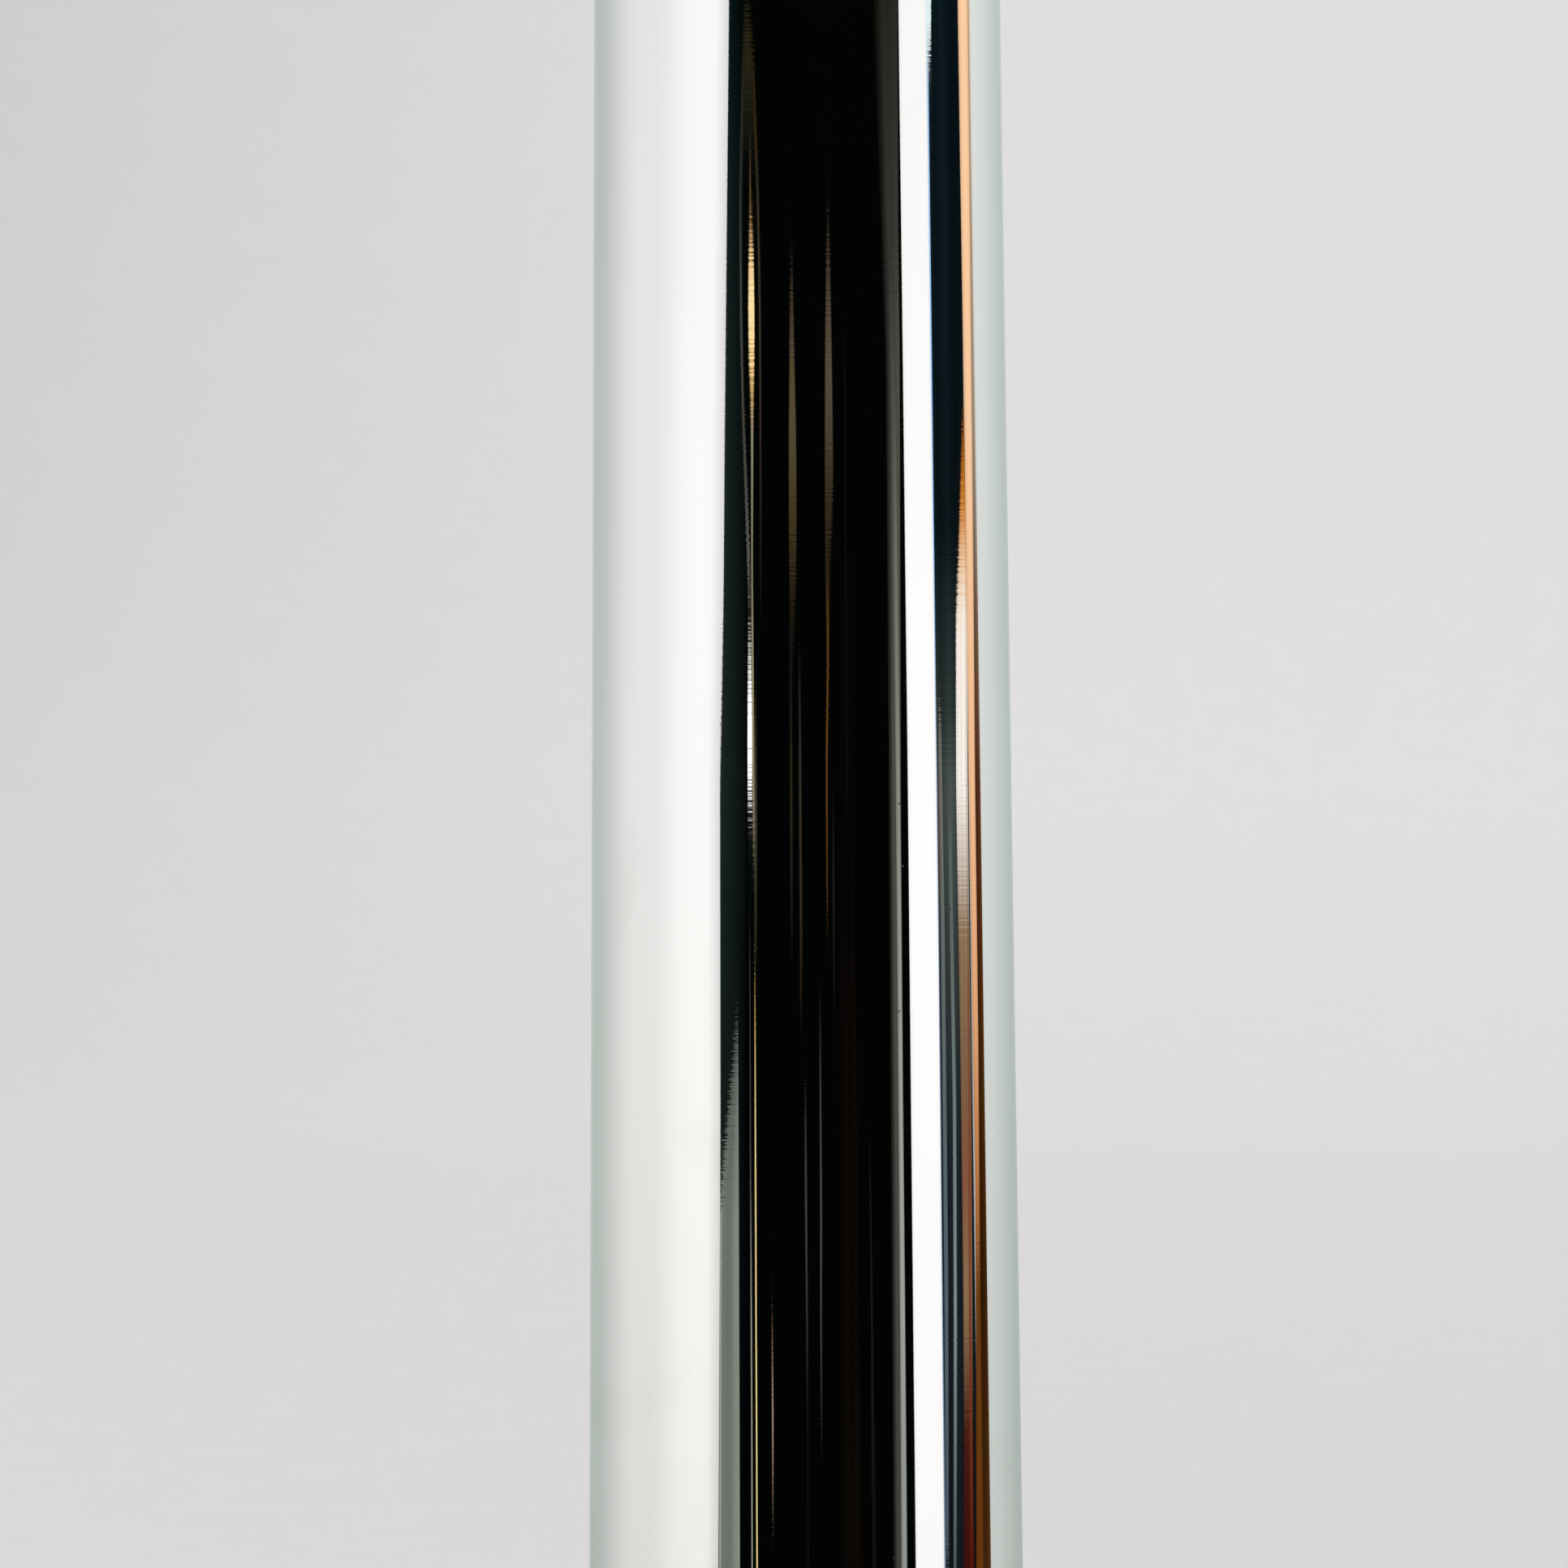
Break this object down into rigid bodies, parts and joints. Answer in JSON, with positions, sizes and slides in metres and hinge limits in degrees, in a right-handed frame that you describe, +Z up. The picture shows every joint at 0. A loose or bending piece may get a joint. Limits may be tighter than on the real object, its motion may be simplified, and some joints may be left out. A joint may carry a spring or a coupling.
{
  "type": "flag pole stand",
  "caption": "Weighted free-standing stand that holds one indoor flag pole upright: polished base, tapered mirror-bright column, socket head with a hand screw and a lift-out reducing sleeve.",
  "frame": {"origin": "centre of the base on the floor, under the column's axis", "axes": "+Z up along the column; +X towards the hand screw"},
  "size_m": [0.36, 0.36, 0.4565],
  "materials": {
    "polished_stainless": "mirror polished",
    "bright_chrome": "bright chrome plate over polished brass",
    "cast_iron_primed": "sand cast, dipped in grey primer",
    "black_phenolic": "moulded phenolic resin, polished",
    "brass": "turned",
    "black_nylon": "turned nylon, satin",
    "natural_nylon": "moulded",
    "moulded_rubber": "moulded, matt",
    "zinc_plated_steel": "bright zinc plate",
    "blackened_steel": "oil blackened",
    "black_powder_coat": "fine-textured black powder coat",
    "mill_aluminium": "drawn, as milled"
  },
  "bodies": {
    "stand": {"ballast_casting": "cast_iron_primed", "base_cover": "polished_stainless", "bottom_plate": "black_powder_coat", "bottom_plate_screws": "zinc_plated_steel", "centring_ring": "natural_nylon", "column": "polished_stainless", "column_plug": "zinc_plated_steel", "foot_collar": "bright_chrome", "foot_gasket": "moulded_rubber", "foot_screws": "zinc_plated_steel", "head_set_screws": "blackened_steel", "locating_dowel": "zinc_plated_steel", "mouth_bush": "black_nylon", "pole_rest": "moulded_rubber", "pole_tube": "mill_aluminium", "pole_tube_cap": "mill_aluminium", "rubber_feet": "moulded_rubber", "socket_head": "bright_chrome", "spring_washer": "blackened_steel", "tie_bolt": "zinc_plated_steel", "tie_washer": "zinc_plated_steel"},
    "clamp_pad": {"clamp_pad": "brass", "pad_facing": "moulded_rubber", "pad_circlip": "blackened_steel"},
    "clamp_screw": {"clamp_screw": "bright_chrome", "clamp_knob": "black_phenolic", "knob_insert": "brass", "knob_grub_screw": "blackened_steel"},
    "reducing_sleeve": {"reducing_sleeve": "black_nylon"}
  },
  "joints": [
    {"name": "pad_travel", "type": "slide", "parent": "stand", "child": "clamp_pad", "axis": [-1, 0, 0], "range_m": [0, 0.00601]},
    {"name": "clamp_turn", "type": "hinge", "parent": "clamp_pad", "child": "clamp_screw", "pos_m": [0.05, 0, 0.428], "axis": [-1, 0, 0], "range_deg": [0, 1440]},
    {"name": "sleeve_lift", "type": "slide", "parent": "stand", "child": "reducing_sleeve", "axis": [0, 0, 1], "range_m": [0, 0.125]}
  ],
  "couplings": [
    {"joint": "pad_travel", "follows": "clamp_turn", "m_per_rad": 0.00023873}
  ]
}
